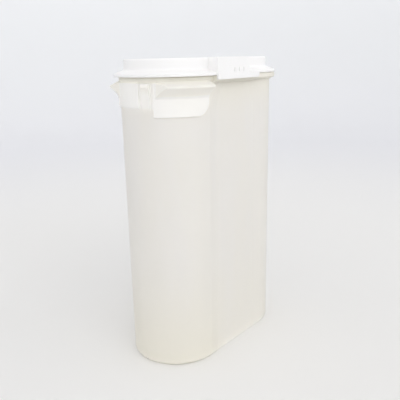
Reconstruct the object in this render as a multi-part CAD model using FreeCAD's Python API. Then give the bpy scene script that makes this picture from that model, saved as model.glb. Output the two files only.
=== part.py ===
import FreeCAD, Part
import math
import os

# A slim oblong storage jar of frosted plastic with a white press-on lid. Millimetres, +Z up.
# The long axis is X. The end with the grip collar points along -X, the lid's tab is on the -Y side.
# Offsets are measured outward from the wall's line at the shoulder, so a minus sign means inward.

# The oblong container
HALF_STRAIGHT = 37.0
BASE_RADIUS = 37.4
DRAFT_GROWTH = 1.2
WALL = 2.0
FLOOR = 2.6
FOOT_ROUND = 4.0
SHOULDER_Z = 229.2

# The shallow recess along each long side
RECESS_DEPTH = 1.8
RECESS_RAMP = 10.0
RECESS_MARGIN = 1.0
RECESS_TAPER_HEIGHT = 20.2
RECESS_TOP_HALF = 25.3

# The neck that the lid grips
NECK_STEP = 5.5
NECK_WALL = 2.0
NECK_HEIGHT = 13.3
SHOULDER_SLOPE = 0.49
SHOULDER_THICKNESS = 2.2
RIM_ROUND = 0.6

# The bead under the lid's edge, which stops short of the collar
BEAD_REACH = 4.4
BEAD_HEIGHT = 3.5
BEAD_CHAMFER = 2.6

# The low rim that carries the bead on at the collar, set back under the lid's edge
RIM_REACH = 0.8
RIM_WIDTH = 3.0

# The grip collar round the -X end
COLLAR_HEIGHT = 26.2
COLLAR_PROUD = 1.2
COLLAR_CORNER = 12.0
COLLAR_EDGE_ROUND = 0.5
WING_REACH = 8.6
WING_HEIGHT = 19.2
WING_SWEEP = 17.0
WING_EDGE = 0.8
WING_FRONT = 2.6

# The rib near the tip of the collar with a gap on each side of it, and the part of the collar that stops higher up
RIB_DEG = 15.0
RIB_WIDTH = 6.6
RIB_TOP_MARGIN = 2.2
RIB_PROUD = 2.4
RIB_DROP = 20.0
RIB_GAP = 2.6
RIB_ROUND = 0.8
COLLAR_SHORT = 19.2
SHORT_FROM_DEG = -95.0

# The lid
LID_GAP = 0.3
LID_SHEET = 1.8
EDGE_LIFT = 2.8
EDGE_HEIGHT = 2.2
EDGE_LIP = 0.8
APRON_RISE = 2.7
APRON_ROUND = 1.5
CROWN_SHEET = 2.2
CAP_ROUND = 1.4
CHANNEL_CLEARANCE = 0.2
PLUG_DEPTH = 11.0
PANEL_DROP = 2.2
PANEL_MARGIN = 4.0

# The lid's tab and grip pad
TAB_LEFT = -33.0
TAB_RIGHT = 22.5
TAB_DROP = 3.0
TAB_SHEET = 1.6
TAB_ROUND = 1.6
PAD_RIGHT = 9.5
PAD_PROUD = 0.3
PAD_ROUND = 6.0
PAD_SET_BACK = 0.6
GRIP_COUNT = 3
GRIP_FIRST_X = -10.9
GRIP_PITCH = 6.1
GRIP_WIDTH = 1.6
GRIP_PROUD = 0.7
GRIP_HEIGHT = 4.0

# Worked out from the above
SHOULDER_RADIUS = BASE_RADIUS + DRAFT_GROWTH
ROOT = WALL / 2
RECESS_HALF = HALF_STRAIGHT - RECESS_MARGIN
RECESS_TAPER_Z = SHOULDER_Z - RECESS_TAPER_HEIGHT
END_LEAN = (RECESS_HALF - RECESS_TOP_HALF) / RECESS_TAPER_HEIGHT
COLLAR_BOTTOM_Z = SHOULDER_Z - COLLAR_HEIGHT
COLLAR_END_X = -(HALF_STRAIGHT + RECESS_MARGIN)
WING_ROOT_Z = SHOULDER_Z - WING_HEIGHT
SHORT_BOTTOM_Z = SHOULDER_Z - COLLAR_SHORT
NECK_OUTER = -NECK_STEP
NECK_INNER = NECK_OUTER - NECK_WALL
NECK_TOP_Z = SHOULDER_Z + NECK_HEIGHT
EDGE_Z = SHOULDER_Z + EDGE_LIFT
GRIP_OUTER = NECK_OUTER + CHANNEL_CLEARANCE
GRIP_INNER = NECK_INNER - CHANNEL_CLEARANCE
PLUG_INNER = GRIP_INNER - LID_SHEET
LID_WALL = GRIP_OUTER + LID_SHEET
LID_TOP_Z = NECK_TOP_Z + LID_GAP + CROWN_SHEET
PANEL_Z = LID_TOP_Z - PANEL_DROP
PANEL_EDGE = PLUG_INNER - PANEL_MARGIN
TAB_INNER_Y = -(SHOULDER_RADIUS + BEAD_REACH + LID_GAP)
TAB_OUTER_Y = TAB_INNER_Y - TAB_SHEET

# How far a cutting tool runs past what it cuts, and a length beyond the whole jar
OVER = 1.0
FAR = 400.0
UP = FreeCAD.Vector(0, 0, 1)
ORIGIN = FreeCAD.Vector(0, 0, 0)


def vec(x, y, z):
    return FreeCAD.Vector(x, y, z)


def cone_z(offset):
    """Height of the sloping shoulder at an offset."""
    return SHOULDER_Z - SHOULDER_SLOPE * offset


def oblong_wire(radius, z):
    """Closed outline at height z: two straight sides and two half circles."""
    half = HALF_STRAIGHT
    right = Part.Arc(vec(half, -radius, z), vec(half + radius, 0, z), vec(half, radius, z))
    left = Part.Arc(vec(-half, radius, z), vec(-half - radius, 0, z), vec(-half, -radius, z))
    front = Part.LineSegment(vec(-half, -radius, z), vec(half, -radius, z))
    back = Part.LineSegment(vec(half, radius, z), vec(-half, radius, z))
    return Part.Wire([front.toShape(), right.toShape(), back.toShape(), left.toShape()])


def box(x0, x1, y0, y1, z0, z1):
    return Part.makeBox(x1 - x0, y1 - y0, z1 - z0, vec(x0, y0, z0))


def corner_edges(corners, place):
    """Edges of a closed outline. Each corner is (across, height, rounding radius)."""
    count = len(corners)
    starts = []
    ends = []
    arcs = []
    for i in range(count):
        before = vec(*corners[i - 1][:2], 0)
        here = vec(*corners[i][:2], 0)
        after = vec(*corners[(i + 1) % count][:2], 0)
        radius = corners[i][2]
        back = (before - here).normalize()
        ahead = (after - here).normalize()
        half_angle = back.getAngle(ahead) / 2
        trim = radius / math.tan(half_angle)
        middle = (back + ahead).normalize() * (radius / math.sin(half_angle) - radius)
        starts.append(here + back * trim)
        ends.append(here + ahead * trim)
        arcs.append(here + middle if radius > 0 else None)
    edges = []
    for i in range(count):
        if arcs[i] is not None:
            edges.append(Part.Arc(place(starts[i]), place(arcs[i]), place(ends[i])).toShape())
        run_end = starts[(i + 1) % count]
        if (run_end - ends[i]).Length > 1e-6:
            edges.append(Part.LineSegment(place(ends[i]), place(run_end)).toShape())
    return edges


def profile_face(corners):
    """Face of a wall profile, (offset, height, rounding), seen at the middle of the +X end."""
    reach = HALF_STRAIGHT + SHOULDER_RADIUS
    return Part.Face(Part.Wire(corner_edges(corners, lambda p: vec(reach + p.x, 0, p.y))))


def carried_round(face):
    """The profile carried once round the oblong."""
    right_axis = vec(HALF_STRAIGHT, 0, 0)
    start = face.copy()
    start.rotate(right_axis, UP, -90)
    right = start.revolve(right_axis, UP, 180)
    front = start.extrude(vec(-2 * HALF_STRAIGHT, 0, 0))
    left = right.copy()
    left.rotate(ORIGIN, UP, 180)
    back = front.copy()
    back.rotate(ORIGIN, UP, 180)
    return right.fuse([front, left, back]).removeSplitter()


def mirrored_in_y(shape):
    return shape.mirror(ORIGIN, vec(0, 1, 0))


def carved(shape, tools):
    """The shape with every tool cut out of it. A tool that misses the shape is a fault."""
    for tool in tools:
        smaller = shape.cut(tool)
        if smaller.Volume >= shape.Volume - 1:
            raise ValueError("a cutting tool takes nothing away")
        shape = smaller
    return shape


def side_plate(corners, y0, y1):
    """Plate whose outline, (x, z, rounding), is seen along Y, between two depths."""
    face = Part.Face(Part.Wire(corner_edges(corners, lambda p: vec(p.x, y0, p.y))))
    return face.extrude(vec(0, y1 - y0, 0))


def recess_outline(widen, y):
    """Outline of the recess at depth y: upright sides that lean in towards the top."""
    low = RECESS_HALF + widen
    high = RECESS_TOP_HALF + widen - END_LEAN * OVER
    points = [
        vec(-low, y, -OVER),
        vec(low, y, -OVER),
        vec(low, y, RECESS_TAPER_Z),
        vec(high, y, SHOULDER_Z + OVER),
        vec(-high, y, SHOULDER_Z + OVER),
        vec(-low, y, RECESS_TAPER_Z),
    ]
    return Part.makePolygon(points + points[:1])


def recess_cutter(inset):
    """Tool for the recess in the -Y side, pushed inward by inset. It leans with the wall's draft."""
    floor_y = -(BASE_RADIUS - RECESS_DEPTH - inset)
    outer_y = floor_y - RECESS_DEPTH - OVER
    spread = RECESS_RAMP * OVER / RECESS_DEPTH
    floor = recess_outline(-RECESS_RAMP, floor_y)
    mouth = recess_outline(spread, outer_y)
    tool = Part.makeLoft([floor, mouth], True, True)
    tool.rotate(vec(0, floor_y, 0), vec(1, 0, 0), math.degrees(math.atan2(DRAFT_GROWTH, SHOULDER_Z)))
    return tool


def container_outside():
    """The filled outer form: rounded foot, drafted wall, sloping shoulder, neck and recessed long sides."""
    corners = [
        (-SHOULDER_RADIUS, 0, 0),
        (-DRAFT_GROWTH, 0, FOOT_ROUND),
        (0, SHOULDER_Z, 0),
        (NECK_OUTER, cone_z(NECK_OUTER), RIM_ROUND),
        (NECK_OUTER, NECK_TOP_Z, RIM_ROUND),
        (-SHOULDER_RADIUS, NECK_TOP_Z, 0),
    ]
    form = carried_round(profile_face(corners))
    cutter = recess_cutter(0)
    return carved(form, [cutter, mirrored_in_y(cutter)])


def container_inside():
    """The space inside, one wall in from the outer form, and the mouth."""
    top_z = NECK_TOP_Z + OVER
    corners = [
        (-SHOULDER_RADIUS, FLOOR, 0),
        (-DRAFT_GROWTH - WALL, FLOOR, FOOT_ROUND - WALL),
        (-WALL, cone_z(-WALL) - SHOULDER_THICKNESS, 0),
        (NECK_INNER, cone_z(NECK_INNER) - SHOULDER_THICKNESS, 0),
        (NECK_INNER, top_z, 0),
        (-SHOULDER_RADIUS, top_z, 0),
    ]
    space = carried_round(profile_face(corners))
    cutter = recess_cutter(WALL)
    return carved(space, [cutter, mirrored_in_y(cutter)])


def bead_ring():
    """The bead that the lid's edge rests over, everywhere but at the collar."""
    top = EDGE_Z - LID_GAP
    under = top - BEAD_HEIGHT
    foot = under - BEAD_CHAMFER
    corners = [
        (NECK_OUTER - ROOT, top, 0),
        (BEAD_REACH, top, RIM_ROUND),
        (BEAD_REACH, under, RIM_ROUND),
        (-RECESS_DEPTH, foot, 0),
        (-RECESS_DEPTH - ROOT, foot, 0),
        (NECK_OUTER - ROOT, SHOULDER_Z, 0),
    ]
    ring = carried_round(profile_face(corners))
    return ring.common(box(TAB_LEFT, FAR, -FAR, FAR, 0, FAR))


def set_back_rim():
    """The low rim on the shoulder at the collar, where the bead stops."""
    top = EDGE_Z - LID_GAP
    inner = RIM_REACH - RIM_WIDTH
    foot = SHOULDER_Z - ROOT
    corners = [
        (RIM_REACH, foot, 0),
        (RIM_REACH, top, RIM_ROUND),
        (inner, top, RIM_ROUND),
        (inner, foot, 0),
    ]
    ring = carried_round(profile_face(corners))
    return ring.common(box(-FAR, TAB_LEFT + ROOT, -FAR, FAR, 0, FAR))


def collar_outline():
    """Outline of the collar's side, (x, z, rounding): a level foot, a round corner and an upright end."""
    top_z = SHOULDER_Z + NECK_STEP
    return [
        (-FAR, COLLAR_BOTTOM_Z, 0),
        (COLLAR_END_X, COLLAR_BOTTOM_Z, COLLAR_CORNER),
        (COLLAR_END_X, top_z, 0),
        (-FAR, top_z, 0),
    ]


def collar_band():
    """A raised band round the -X end."""
    root = -DRAFT_GROWTH - ROOT
    corners = [
        (root, COLLAR_BOTTOM_Z, 0),
        (COLLAR_PROUD, COLLAR_BOTTOM_Z, COLLAR_EDGE_ROUND),
        (COLLAR_PROUD, cone_z(COLLAR_PROUD), COLLAR_EDGE_ROUND),
        (root, cone_z(root), 0),
    ]
    band = carried_round(profile_face(corners))
    return band.common(side_plate(collar_outline(), -FAR, FAR))


def wing_face():
    """Profile of the wing: a hollow sweep below, a thin edge and a sloping top."""
    reach = HALF_STRAIGHT + SHOULDER_RADIUS
    tip_z = cone_z(WING_REACH)
    low_z = tip_z - WING_EDGE
    sweep_mid = math.asin((low_z - WING_ROOT_Z) / WING_SWEEP) / 2

    def sweep(angle):
        across = WING_SWEEP * (1 - math.cos(angle))
        return vec(reach + across, 0, WING_ROOT_Z + WING_SWEEP * math.sin(angle))

    root = vec(reach, 0, WING_ROOT_Z)
    low_tip = sweep(2 * sweep_mid)
    tip = vec(low_tip.x, 0, cone_z(low_tip.x - reach))
    inner_top = vec(reach - ROOT, 0, cone_z(-ROOT))
    inner_low = vec(reach - ROOT, 0, WING_ROOT_Z)
    edges = [
        Part.Arc(root, sweep(sweep_mid), low_tip).toShape(),
        Part.LineSegment(low_tip, tip).toShape(),
        Part.LineSegment(tip, inner_top).toShape(),
        Part.LineSegment(inner_top, inner_low).toShape(),
        Part.LineSegment(inner_low, root).toShape(),
    ]
    return Part.Face(Part.Wire(edges))


def wings():
    """The two flared grips, one on each side of the -X end, cut off square towards its tip."""
    ring = carried_round(wing_face())
    front_x = -HALF_STRAIGHT - SHOULDER_RADIUS + WING_FRONT
    ring = ring.common(box(front_x, FAR, -FAR, FAR, 0, FAR))
    return ring.common(side_plate(collar_outline(), -FAR, FAR))


def turned_at_tip(shape, angle):
    """The shape turned about the -X end's axis, from the tip towards the -Y side."""
    shape.rotate(vec(-HALF_STRAIGHT, 0, 0), UP, angle)
    return shape


def wedge(from_deg, to_deg, z0, z1):
    """Tool that takes away the collar in a stretch round the -X end, down to the wall."""
    reach = HALF_STRAIGHT + SHOULDER_RADIUS
    corners = [
        (0, z0, 0),
        (COLLAR_PROUD + OVER, z0, 0),
        (COLLAR_PROUD + OVER, z1, 0),
        (0, z1, 0),
    ]
    edges = corner_edges(corners, lambda p: vec(-reach - p.x, 0, p.y))
    face = turned_at_tip(Part.Face(Part.Wire(edges)), from_deg)
    return face.revolve(vec(-HALF_STRAIGHT, 0, 0), UP, to_deg - from_deg)


def rib():
    """The upright rib, proud at the top and flush with the wall at its foot."""
    reach = HALF_STRAIGHT + SHOULDER_RADIUS
    top_z = SHOULDER_Z - RIB_TOP_MARGIN
    corners = [
        (-ROOT, top_z - RIB_DROP, 0),
        (0, top_z - RIB_DROP, 0),
        (RIB_PROUD, top_z - RIB_PROUD, RIB_ROUND),
        (RIB_PROUD - RIB_ROUND, top_z, RIB_ROUND),
        (-ROOT, top_z, 0),
    ]
    edges = corner_edges(corners, lambda p: vec(-reach - p.x, -RIB_WIDTH / 2, p.y))
    bar = Part.Face(Part.Wire(edges)).extrude(vec(0, RIB_WIDTH, 0))
    return turned_at_tip(bar, RIB_DEG)


def collar():
    """The whole collar: the band with its shorter stretch, the wings, and the rib in its gap."""
    gap_half = math.degrees((RIB_WIDTH / 2 + RIB_GAP) / SHOULDER_RADIUS)
    gap_from = RIB_DEG - gap_half
    gap_to = RIB_DEG + gap_half
    low_z = COLLAR_BOTTOM_Z - OVER
    shorter = wedge(SHORT_FROM_DEG, gap_to, low_z, SHORT_BOTTOM_Z)
    gap = wedge(gap_from, gap_to, low_z, SHOULDER_Z + OVER)
    band = carved(collar_band(), [shorter, gap])
    return band.fuse([wings(), rib()])


def container():
    shape = container_outside().fuse([bead_ring(), set_back_rim(), collar()])
    return carved(shape, [container_inside()]).removeSplitter()


def lid_ring():
    """The lid's edge, sloping apron, upright wall and the channel that grips the neck."""
    edge_top = EDGE_Z + EDGE_HEIGHT
    apron_top = edge_top + APRON_RISE
    plug_z = LID_TOP_Z - PLUG_DEPTH
    crown_under = NECK_TOP_Z + LID_GAP
    corners = [
        (BEAD_REACH, EDGE_Z, RIM_ROUND),
        (BEAD_REACH, edge_top, RIM_ROUND),
        (LID_WALL, apron_top, APRON_ROUND),
        (LID_WALL, LID_TOP_Z, CAP_ROUND),
        (PLUG_INNER, LID_TOP_Z, CAP_ROUND),
        (PLUG_INNER - PANEL_DROP, PANEL_Z, RIM_ROUND),
        (PANEL_EDGE, PANEL_Z, 0),
        (PANEL_EDGE, PANEL_Z - LID_SHEET, 0),
        (PLUG_INNER, PANEL_Z - LID_SHEET, 0),
        (PLUG_INNER, plug_z, RIM_ROUND),
        (GRIP_INNER, plug_z, RIM_ROUND),
        (GRIP_INNER, crown_under, 0),
        (GRIP_OUTER, crown_under, 0),
        (GRIP_OUTER, apron_top - LID_SHEET, 0),
        (BEAD_REACH - LID_SHEET, EDGE_Z + EDGE_LIP, 0),
        (BEAD_REACH - LID_SHEET, EDGE_Z, 0),
    ]
    return carried_round(profile_face(corners))


def lid_panel():
    """The sheet that closes the middle of the lid."""
    radius = SHOULDER_RADIUS + PANEL_EDGE + PANEL_MARGIN / 2
    face = Part.Face(oblong_wire(radius, PANEL_Z - LID_SHEET))
    return face.extrude(vec(0, 0, LID_SHEET))


def lid_tab():
    """The tab that hangs over the bead on the -Y side."""
    low = EDGE_Z - TAB_DROP
    high = EDGE_Z + EDGE_HEIGHT
    corners = [
        (TAB_LEFT, low, 0),
        (TAB_RIGHT, low, TAB_ROUND),
        (TAB_RIGHT, high, TAB_ROUND),
        (TAB_LEFT, high, 0),
    ]
    leaf = side_plate(corners, TAB_OUTER_Y, TAB_INNER_Y)
    bridge_right = TAB_RIGHT - TAB_ROUND
    bridge_outer_y = TAB_OUTER_Y + TAB_SHEET / 2
    bridge = box(TAB_LEFT, bridge_right, bridge_outer_y, TAB_INNER_Y + LID_SHEET, EDGE_Z, high)
    return leaf.fuse(bridge)


def lid_pad():
    """The grip pad over the tab, with its round corner and upright ribs."""
    outer_y = TAB_OUTER_Y + PAD_SET_BACK
    inner_y = -(SHOULDER_RADIUS + LID_WALL - LID_SHEET / 2)
    low = EDGE_Z + RIM_ROUND
    high = LID_TOP_Z + PAD_PROUD
    corners = [
        (TAB_LEFT, low, 0),
        (PAD_RIGHT, low, 0),
        (PAD_RIGHT, high, PAD_ROUND),
        (TAB_LEFT, high, TAB_ROUND),
    ]
    pad = side_plate(corners, outer_y, inner_y)
    rib_low = low + GRIP_PROUD
    ribs = []
    for i in range(GRIP_COUNT):
        left = GRIP_FIRST_X + i * GRIP_PITCH - GRIP_WIDTH / 2
        front_y = outer_y - GRIP_PROUD
        rib = box(left, left + GRIP_WIDTH, front_y, outer_y + GRIP_PROUD, rib_low, rib_low + GRIP_HEIGHT)
        ribs.append(rib)
    return pad.fuse(ribs)


def lid():
    shape = lid_ring().fuse([lid_panel(), lid_tab(), lid_pad()])
    return shape.removeSplitter()


def main():
    os.makedirs("parts", exist_ok=True)
    for name, make in (("container", container), ("lid", lid)):
        shape = make()
        if len(shape.Solids) != 1 or not shape.isValid():
            raise ValueError(name + " is not one sound solid: %d" % len(shape.Solids))
        solid = shape.Solids[0]
        solid.exportStep("parts/" + name + ".step")
        bounds = solid.optimalBoundingBox(False)
        print(name, "volume %.1f cm3" % (solid.Volume / 1000), "box", bounds)


main()
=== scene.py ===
import math

import bpy
from mathutils import Matrix, Vector

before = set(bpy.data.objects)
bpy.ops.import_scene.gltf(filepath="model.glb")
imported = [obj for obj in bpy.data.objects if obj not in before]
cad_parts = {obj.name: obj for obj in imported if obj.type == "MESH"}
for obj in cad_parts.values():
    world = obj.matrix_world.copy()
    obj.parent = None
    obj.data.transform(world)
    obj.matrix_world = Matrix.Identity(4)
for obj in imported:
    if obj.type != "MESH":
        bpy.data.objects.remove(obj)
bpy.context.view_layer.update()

# The jar stands on the floor, with its grip collar towards the camera and to the left. Metres.

# Camera
CAMERA_PLACE = (-0.3601, -0.2893, 0.2450)
CAMERA_AZIMUTH = math.radians(51.05)
CAMERA_DOWN = math.radians(14.75)
CAMERA_ROLL = math.radians(-1.2)
CAMERA_LENS = 48.7
SENSOR_WIDTH = 36.0

# Stage
COVE_FLAT = 1.3
COVE_ROUND = 0.7
COVE_TOP = 1.1
NEAR_PAPER = (0.84, 0.837, 0.825)
FAR_PAPER = (0.785, 0.79, 0.815)
JAR_LIT_PAPER = (0.86, 0.855, 0.84)
JAR_LIT_FROM = 0.05
JAR_LIT_TO = 0.17
NEAR_PAPER_TO = 0.3
FAR_PAPER_FROM = 1.2
WALL_PAPER = (0.625, 0.635, 0.645)
WALL_PAPER_Z = 0.45
WALL_PAPER_EARLY = 0.3
PAPER_ROUGHNESS = 0.9
FLOOR_SIDES = 96
COVE_STEPS = 16
COVE_SMOOTH_UNDER = math.radians(40)

# Light
SKY_COLOUR = (0.985, 0.98, 0.985)
SKY_FRONT = (-0.55, -0.83, 0.0)
SKY_FRONT_STRENGTH = 3.38
SKY_BACK_STRENGTH = 1.92
SKY_DIM_FROM = 0.25
SKY_DIM_TO = 0.95
SKY_TOP_SHARE = 0.2
KEY_PLACE = (-0.50, -1.12, 0.62)
KEY_ENERGY = 2.65
KEY_SIZE = (0.9, 0.9)
KEY_COLOUR = (1.0, 0.985, 0.96)
JAR_MIDDLE = (0.0, 0.0, 0.12)

# Container wall, where its outside face stands
HALF_STRAIGHT = 0.037
BASE_RADIUS = 0.0374
DRAFT = 0.0012 / 0.2292

# Milky plastic of the container, with painted light and shade: its deeper colour is also painted
# shade at the shoulder, its collar and slot colours are painted light, and its glow is painted
# light
MILKY = (0.93, 0.915, 0.89)
DEEP_AND_SHADED_MILKY = (0.925, 0.90, 0.815)
PAINTED_COLLAR_LIGHT = (1.0, 0.997, 0.99)
PAINTED_SLOT_LIGHT = (0.95, 0.93, 0.85)
NO_GLOW = (0.0, 0.0, 0.0)
# The glows below are painted light: the plastic is no lamp
SHOULDER_GLOW = (0.45, 0.42, 0.30)
NECK_GLOW = (0.60, 0.57, 0.42)
COLLAR_GLOW = (1.0, 0.98, 0.93)
GLOW_STRENGTH = 0.08
THROUGH_COLOUR = (0.995, 0.985, 0.96)
THROUGH_SHARE = 0.34

# Where the container's colour changes, and where its painted light and shade go. Each pair says
# where a change starts and where it is
# full: up the jar, along it, or proud of its plain wall. A share pair says how much at each end.
FOOT_YELLOW_UP = (0.095, 0.0)
FOOT_YELLOW_ALONG = (-0.010, -0.042)
FOOT_YELLOW_SHARE = (0.35, 1.0)
SHOULDER_YELLOW_AND_SHADE_UP = (0.195, 0.235)
SHOULDER_YELLOW_AND_SHADE_SHARE = (0.0, 0.8)
COLLAR_PROUD = (0.0003, 0.0009)
COLLAR_ALONG = (-0.030, -0.036)
RIB_GAPS_ALONG = (-0.0705, -0.0722)
RIB_GAPS_UP = (0.2065, 0.2110)
WING_PROUD = (0.0014, 0.0026)
WING_PAINTED_LIGHT_SHARE = (1.0, 0.5)
WING_GLOW_SHARE = (1.0, 0.3)
TIP_ALONG = (-0.0705, -0.0730)
TIP_GLOW_SHARE = (1.0, 0.5)
SLOT_UP = (0.2270, 0.2285)
SLOT_ALONG = (-0.025, -0.033)

# White plastic of the lid
LID_WHITE = (0.865, 0.86, 0.855)
LID_SHADE = (0.85, 0.845, 0.835)

# Finish of both plastics: grain per metre, grain share and scuffs, then the clouds' share, the
# roughness, and the bump's depth in metres and strength
CONTAINER_SKIN = (1300.0, 0.25, 0.6)
CONTAINER_CLOUD_SHARE = (0.0, 0.25)
CONTAINER_ROUGHNESS = (0.34, 0.42)
CONTAINER_BUMP = (0.0004, 0.35)
LID_SKIN = (1800.0, 0.4, 0.8)
LID_CLOUD_SHARE = (0.0, 0.4)
LID_ROUGHNESS = (0.36, 0.46)
LID_BUMP = (0.0003, 0.3)
CLOUD_FLOW = (0.35, 0.65)
GLOSS_FLOW = (0.3, 0.7)
SCUFF_ROUGHNESS = 0.2

# The moulded skin's own pattern, in cycles per metre and in shares
FLOW_STRETCH = (1.0, 1.0, 0.25)
FLOW_PER_METRE = 34.0
SCUFF_TURN = (0.18, 0.07, 0.0)
SCUFF_SQUASH = (1.0, 1.0, 16.0)
SCUFF_LINES_PER_METRE = 90.0
SCUFF_PATCHES_PER_METRE = 28.0
SCUFF_LINE_EDGE = (0.60, 0.70)
SCUFF_PATCH_EDGE = (0.50, 0.66)
SCUFF_DEPTH = 0.3


def lit(name, place, energy, size, colour):
    """A soft rectangular light at a place, turned to the middle of the jar."""
    data = bpy.data.lights.new(name, "AREA")
    data.energy = energy
    data.color = colour
    data.shape = "RECTANGLE"
    data.size, data.size_y = size
    lamp = bpy.data.objects.new(name, data)
    bpy.context.collection.objects.link(lamp)
    lamp.location = place
    aim = Vector(JAR_MIDDLE) - Vector(place)
    lamp.rotation_euler = aim.to_track_quat("-Z", "Y").to_euler()


def make_camera():
    camera = bpy.data.objects.new("camera", bpy.data.cameras.new("camera"))
    bpy.context.collection.objects.link(camera)
    camera.data.lens = CAMERA_LENS
    camera.data.sensor_width = SENSOR_WIDTH
    turn = Matrix.Rotation(-CAMERA_AZIMUTH, 4, "Z")
    tip = Matrix.Rotation(math.pi / 2 - CAMERA_DOWN, 4, "X")
    roll = Matrix.Rotation(CAMERA_ROLL, 4, "Z")
    camera.matrix_world = Matrix.Translation(CAMERA_PLACE) @ turn @ tip @ roll
    bpy.context.scene.camera = camera


def make_light():
    world = bpy.data.worlds.new("studio")
    world.use_nodes = True
    sky = world.node_tree.nodes["Background"]
    sky.inputs["Color"].default_value = (*SKY_COLOUR, 1)
    # The studio is brighter on the camera's side, and dimmer straight above
    tree = world.node_tree
    direction = tree.nodes.new("ShaderNodeTexCoord").outputs["Generated"]
    facing = tree.nodes.new("ShaderNodeVectorMath")
    facing.operation = "DOT_PRODUCT"
    facing.inputs[1].default_value = SKY_FRONT
    tree.links.new(direction, facing.inputs[0])
    strength = ramp_of(tree, facing.outputs["Value"], -1.0, 1.0,
                       SKY_BACK_STRENGTH, SKY_FRONT_STRENGTH)
    parts = tree.nodes.new("ShaderNodeSeparateXYZ")
    tree.links.new(direction, parts.inputs["Vector"])
    above = ramp_of(tree, parts.outputs["Z"], SKY_DIM_FROM, SKY_DIM_TO, 1.0, SKY_TOP_SHARE)
    tree.links.new(math_of(tree, "MULTIPLY", strength, above), sky.inputs["Strength"])
    bpy.context.scene.world = world
    lit("key_light", KEY_PLACE, KEY_ENERGY, KEY_SIZE, KEY_COLOUR)
    bpy.context.scene.view_settings.view_transform = "Standard"


def new_material(name):
    material = bpy.data.materials.new(name)
    material.use_nodes = True
    return material


def add(tree, kind, **values):
    """A node, with its settings and its unlinked sockets given by name."""
    node = tree.nodes.new(kind)
    for name, value in values.items():
        socket_name = name.replace("_", " ").title()
        if hasattr(node, name):
            setattr(node, name, value)
        else:
            node.inputs[socket_name].default_value = value
    return node


def math_of(tree, operation, first, second=None):
    """A Math node on sockets or numbers; gives its output socket."""
    node = tree.nodes.new("ShaderNodeMath")
    node.operation = operation
    for slot, value in enumerate((first, second)):
        if value is None:
            continue
        if isinstance(value, (int, float)):
            node.inputs[slot].default_value = value
        else:
            tree.links.new(value, node.inputs[slot])
    return node.outputs[0]


def ramp_of(tree, value, low, high, to_low=0.0, to_high=1.0):
    """A smooth step from to_low at low to to_high at high."""
    node = tree.nodes.new("ShaderNodeMapRange")
    node.interpolation_type = "SMOOTHSTEP"
    node.inputs["From Min"].default_value = low
    node.inputs["From Max"].default_value = high
    node.inputs["To Min"].default_value = to_low
    node.inputs["To Max"].default_value = to_high
    tree.links.new(value, node.inputs["Value"])
    return node.outputs["Result"]


def mixed(tree, share, first, second):
    """A colour between two, each a colour or a socket."""
    node = tree.nodes.new("ShaderNodeMix")
    node.data_type = "RGBA"
    tree.links.new(share, node.inputs["Factor"])
    for name, value in (("A", first), ("B", second)):
        socket = [s for s in node.inputs if s.name == name and s.type == "RGBA"][0]
        if isinstance(value, tuple):
            socket.default_value = (*value, 1)
        else:
            tree.links.new(value, socket)
    return [s for s in node.outputs if s.type == "RGBA"][0]


def make_moulded_skin():
    """The surface that a steel mould leaves: fine grain, slow flow marks and a few light scuffs."""
    group = bpy.data.node_groups.new("moulded_skin", "ShaderNodeTree")
    face = group.interface
    for name, kind, value in (
            ("Position", "NodeSocketVector", None),
            ("Grain per Metre", "NodeSocketFloat", 1400.0),
            ("Grain Share", "NodeSocketFloat", 0.3),
            ("Scuff Amount", "NodeSocketFloat", 0.5)):
        socket = face.new_socket(name, in_out="INPUT", socket_type=kind)
        if value is not None:
            socket.default_value = value
    for name in ("Height", "Flow", "Scuffs"):
        face.new_socket(name, in_out="OUTPUT", socket_type="NodeSocketFloat")
    came_in = group.nodes.new("NodeGroupInput")
    goes_out = group.nodes.new("NodeGroupOutput")
    links = group.links

    grain = add(group, "ShaderNodeTexNoise", detail=3.0, roughness=0.6)
    links.new(came_in.outputs["Position"], grain.inputs["Vector"])
    links.new(came_in.outputs["Grain per Metre"], grain.inputs["Scale"])

    # The melt ran up the wall, so its marks are long upwards
    stretched = add(group, "ShaderNodeMapping", vector_type="POINT")
    stretched.inputs["Scale"].default_value = FLOW_STRETCH
    links.new(came_in.outputs["Position"], stretched.inputs["Vector"])
    flow = add(group, "ShaderNodeTexNoise", scale=FLOW_PER_METRE,
               detail=3.0, roughness=0.5, distortion=0.6)
    links.new(stretched.outputs["Vector"], flow.inputs["Vector"])

    # Scuffs: short thin level lines, in a few patches
    thin = add(group, "ShaderNodeMapping", vector_type="POINT")
    thin.inputs["Rotation"].default_value = SCUFF_TURN
    thin.inputs["Scale"].default_value = SCUFF_SQUASH
    links.new(came_in.outputs["Position"], thin.inputs["Vector"])
    lines = add(group, "ShaderNodeTexNoise", scale=SCUFF_LINES_PER_METRE,
                detail=2.0, roughness=0.5)
    links.new(thin.outputs["Vector"], lines.inputs["Vector"])
    patches = add(group, "ShaderNodeTexNoise", scale=SCUFF_PATCHES_PER_METRE, detail=1.0)
    links.new(came_in.outputs["Position"], patches.inputs["Vector"])
    line_mask = ramp_of(group, lines.outputs["Fac"], *SCUFF_LINE_EDGE)
    patch_mask = ramp_of(group, patches.outputs["Fac"], *SCUFF_PATCH_EDGE)
    scuffs = math_of(group, "MULTIPLY", line_mask, patch_mask)
    scuffs = math_of(group, "MULTIPLY", scuffs, came_in.outputs["Scuff Amount"])

    grain_part = math_of(group, "MULTIPLY", grain.outputs["Fac"], came_in.outputs["Grain Share"])
    height = math_of(group, "ADD", flow.outputs["Fac"], grain_part)
    height = math_of(group, "SUBTRACT", height, math_of(group, "MULTIPLY", scuffs, SCUFF_DEPTH))
    links.new(height, goes_out.inputs["Height"])
    links.new(flow.outputs["Fac"], goes_out.inputs["Flow"])
    links.new(scuffs, goes_out.inputs["Scuffs"])
    return group


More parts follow.
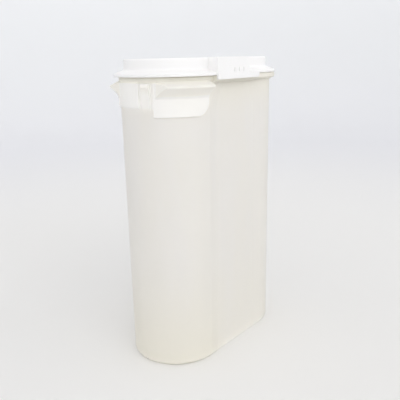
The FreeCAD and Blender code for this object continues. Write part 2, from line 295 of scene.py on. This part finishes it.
def skin_in(material, group, grain_per_metre, grain_share, scuff_amount):
    """The moulded skin placed in a material, on the piece's own coordinates."""
    tree = material.node_tree
    place = tree.nodes.new("ShaderNodeTexCoord").outputs["Object"]
    skin = tree.nodes.new("ShaderNodeGroup")
    skin.node_tree = group
    tree.links.new(place, skin.inputs["Position"])
    skin.inputs["Grain per Metre"].default_value = grain_per_metre
    skin.inputs["Grain Share"].default_value = grain_share
    skin.inputs["Scuff Amount"].default_value = scuff_amount
    return place, skin


def bumped(tree, height, distance, strength):
    bump = tree.nodes.new("ShaderNodeBump")
    bump.inputs["Distance"].default_value = distance
    bump.inputs["Strength"].default_value = strength
    tree.links.new(height, bump.inputs["Height"])
    return bump.outputs["Normal"]


def proud_of_wall(tree, place):
    """How far a point stands out from the container's plain wall, in metres."""
    parts = tree.nodes.new("ShaderNodeSeparateXYZ")
    tree.links.new(place, parts.inputs["Vector"])
    along, across, up = parts.outputs
    past_straight = math_of(tree, "SUBTRACT", math_of(tree, "ABSOLUTE", along), HALF_STRAIGHT)
    past_straight = math_of(tree, "MAXIMUM", past_straight, 0.0)
    square = math_of(tree, "ADD", math_of(tree, "MULTIPLY", past_straight, past_straight),
                     math_of(tree, "MULTIPLY", across, across))
    out = math_of(tree, "SQRT", square)
    wall = math_of(tree, "ADD", math_of(tree, "MULTIPLY", up, DRAFT), BASE_RADIUS)
    return math_of(tree, "SUBTRACT", out, wall), along, up


def let_light_through(tree, normal, colour, share):
    """Part of the light goes through the surface and spreads."""
    through = tree.nodes.new("ShaderNodeBsdfTranslucent")
    through.inputs["Color"].default_value = (*colour, 1)
    tree.links.new(normal, through.inputs["Normal"])
    blend = tree.nodes.new("ShaderNodeMixShader")
    blend.inputs["Fac"].default_value = share
    tree.links.new(tree.nodes["Principled BSDF"].outputs["BSDF"], blend.inputs[1])
    tree.links.new(through.outputs["BSDF"], blend.inputs[2])
    tree.links.new(blend.outputs["Shader"], tree.nodes["Material Output"].inputs["Surface"])


def rough_with_scuffs(tree, skin, roughness):
    """Roughness that follows the flow marks and rises on the scuffs."""
    plain = ramp_of(tree, skin.outputs["Flow"], *GLOSS_FLOW, *roughness)
    scuffed = math_of(tree, "MULTIPLY", skin.outputs["Scuffs"], SCUFF_ROUGHNESS)
    return math_of(tree, "ADD", plain, scuffed)


def container_plastic(group):
    """Milky unpigmented plastic that lets part of the light through, yellower by its floor. Its
    shoulder has painted shade under the lid, its collar and the slot under the lid are painted
    lighter, and shoulder, slot and collar carry a painted glow.
    """
    material = new_material("milky_plastic")
    tree = material.node_tree
    place, skin = skin_in(material, group, *CONTAINER_SKIN)
    proud, along, up = proud_of_wall(tree, place)

    # Yellower by the floor of the jar, and by its shoulder yellower with a painted shade under the
    # lid's edge and tab
    low = math_of(tree, "MULTIPLY", ramp_of(tree, up, *FOOT_YELLOW_UP),
                  ramp_of(tree, along, *FOOT_YELLOW_ALONG, *FOOT_YELLOW_SHARE))
    high = ramp_of(tree, up, *SHOULDER_YELLOW_AND_SHADE_UP, *SHOULDER_YELLOW_AND_SHADE_SHARE)
    deep_and_shaded = math_of(tree, "MAXIMUM", low, high)
    # The collar is painted whiter: painted light where it stands off the wall
    collar = math_of(tree, "MULTIPLY", ramp_of(tree, proud, *COLLAR_PROUD),
                     ramp_of(tree, along, *COLLAR_ALONG))
    # So is the wall in the gaps beside the rib, with more painted light
    gaps = math_of(tree, "MULTIPLY", ramp_of(tree, along, *RIB_GAPS_ALONG),
                   ramp_of(tree, up, *RIB_GAPS_UP))
    collar = math_of(tree, "MAXIMUM", collar, gaps)
    colour = mixed(tree, deep_and_shaded, MILKY, DEEP_AND_SHADED_MILKY)
    # The painted light is weaker on the wings at the top of its flanks
    on_wing = ramp_of(tree, proud, *WING_PROUD, *WING_PAINTED_LIGHT_SHARE)
    colour = mixed(tree, math_of(tree, "MULTIPLY", collar, on_wing), colour, PAINTED_COLLAR_LIGHT)
    cloud = ramp_of(tree, skin.outputs["Flow"], *CLOUD_FLOW, *CONTAINER_CLOUD_SHARE)
    colour = mixed(tree, cloud, colour, DEEP_AND_SHADED_MILKY)
    # Painted light in the narrow slot under the lid: its wall is painted lighter and yellower
    neck = math_of(tree, "MULTIPLY", ramp_of(tree, up, *SLOT_UP),
                   ramp_of(tree, along, *SLOT_ALONG))
    colour = mixed(tree, neck, colour, PAINTED_SLOT_LIGHT)

    roughness = rough_with_scuffs(tree, skin, CONTAINER_ROUGHNESS)
    normal = bumped(tree, skin.outputs["Height"], *CONTAINER_BUMP)

    surface = tree.nodes["Principled BSDF"]
    tree.links.new(colour, surface.inputs["Base Color"])
    tree.links.new(roughness, surface.inputs["Roughness"])
    tree.links.new(normal, surface.inputs["Normal"])
    # Painted glow at the shoulder, in the slot under the lid and on the collar, lifting their shade
    glow = mixed(tree, high, NO_GLOW, SHOULDER_GLOW)
    glow = mixed(tree, neck, glow, NECK_GLOW)
    band_glow = math_of(tree, "MULTIPLY", collar,
                        ramp_of(tree, proud, *WING_PROUD, *WING_GLOW_SHARE))
    band_glow = math_of(tree, "MULTIPLY", band_glow,
                        ramp_of(tree, along, *TIP_ALONG, *TIP_GLOW_SHARE))
    glow = mixed(tree, band_glow, glow, COLLAR_GLOW)
    tree.links.new(glow, surface.inputs["Emission Color"])
    surface.inputs["Emission Strength"].default_value = GLOW_STRENGTH
    let_light_through(tree, normal, THROUGH_COLOUR, THROUGH_SHARE)
    return material


def lid_plastic(group):
    """White pigmented plastic, a little softer than the container."""
    material = new_material("white_lid_plastic")
    tree = material.node_tree
    skin = skin_in(material, group, *LID_SKIN)[1]
    cloud = ramp_of(tree, skin.outputs["Flow"], *CLOUD_FLOW, *LID_CLOUD_SHARE)
    colour = mixed(tree, cloud, LID_WHITE, LID_SHADE)
    colour = mixed(tree, skin.outputs["Scuffs"], colour, LID_SHADE)
    roughness = rough_with_scuffs(tree, skin, LID_ROUGHNESS)
    surface = tree.nodes["Principled BSDF"]
    tree.links.new(colour, surface.inputs["Base Color"])
    tree.links.new(roughness, surface.inputs["Roughness"])
    normal = bumped(tree, skin.outputs["Height"], *LID_BUMP)
    tree.links.new(normal, surface.inputs["Normal"])
    return material


def paper():
    """Pale matt paper: brighter and warmer by the jar, a painted pool of light, cooler far off, and
    greyer up the wall.
    """
    material = new_material("pale_paper")
    tree = material.node_tree
    place = tree.nodes.new("ShaderNodeTexCoord").outputs["Object"]
    parts = tree.nodes.new("ShaderNodeSeparateXYZ")
    tree.links.new(place, parts.inputs["Vector"])
    reach = tree.nodes.new("ShaderNodeVectorMath")
    reach.operation = "LENGTH"
    tree.links.new(place, reach.inputs[0])
    # A pool of light painted on the paper round the jar
    under = ramp_of(tree, reach.outputs["Value"], JAR_LIT_FROM, JAR_LIT_TO)
    far = ramp_of(tree, reach.outputs["Value"], NEAR_PAPER_TO, FAR_PAPER_FROM)
    rise = ramp_of(tree, parts.outputs["Z"], 0.0, WALL_PAPER_Z)
    rise = math_of(tree, "POWER", rise, WALL_PAPER_EARLY)
    colour = mixed(tree, under, JAR_LIT_PAPER, NEAR_PAPER)
    colour = mixed(tree, rise, mixed(tree, far, colour, FAR_PAPER), WALL_PAPER)
    surface = tree.nodes["Principled BSDF"]
    tree.links.new(colour, surface.inputs["Base Color"])
    surface.inputs["Roughness"].default_value = PAPER_ROUGHNESS
    return material


def make_stage():
    """A pale floor that curves up into a round wall."""
    bpy.ops.object.select_all(action="DESELECT")
    bpy.ops.mesh.primitive_circle_add(vertices=FLOOR_SIDES, radius=COVE_FLAT, fill_type="NGON")
    cove = bpy.context.object
    cove.name = "floor"
    bpy.ops.object.mode_set(mode="EDIT")
    bpy.ops.mesh.select_mode(type="EDGE")
    bpy.ops.mesh.select_all(action="SELECT")
    bpy.ops.mesh.region_to_loop()
    for step in range(COVE_STEPS):
        last = math.pi / 2 * step / COVE_STEPS
        angle = math.pi / 2 * (step + 1) / COVE_STEPS
        grown = COVE_FLAT + COVE_ROUND * math.sin(angle)
        before = COVE_FLAT + COVE_ROUND * math.sin(last)
        lift = COVE_ROUND * (math.cos(last) - math.cos(angle))
        bpy.ops.mesh.extrude_edges_move(TRANSFORM_OT_translate={"value": (0, 0, lift)})
        bpy.ops.transform.resize(value=(grown / before, grown / before, 1),
                                 center_override=(0, 0, 0))
    wall = COVE_TOP - COVE_ROUND
    bpy.ops.mesh.extrude_edges_move(TRANSFORM_OT_translate={"value": (0, 0, wall)})
    bpy.ops.mesh.select_all(action="SELECT")
    bpy.ops.mesh.normals_make_consistent(inside=True)
    bpy.ops.object.mode_set(mode="OBJECT")
    bpy.ops.object.shade_smooth_by_angle(angle=COVE_SMOOTH_UNDER)
    cove.data.materials.append(paper())


def finish_with(node, material):
    """Gives a CAD node its material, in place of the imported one."""
    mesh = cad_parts[node].data
    mesh.materials.clear()
    mesh.materials.append(material)


make_camera()
make_stage()
make_light()
skin_group = make_moulded_skin()
finish_with("container", container_plastic(skin_group))
finish_with("lid", lid_plastic(skin_group))
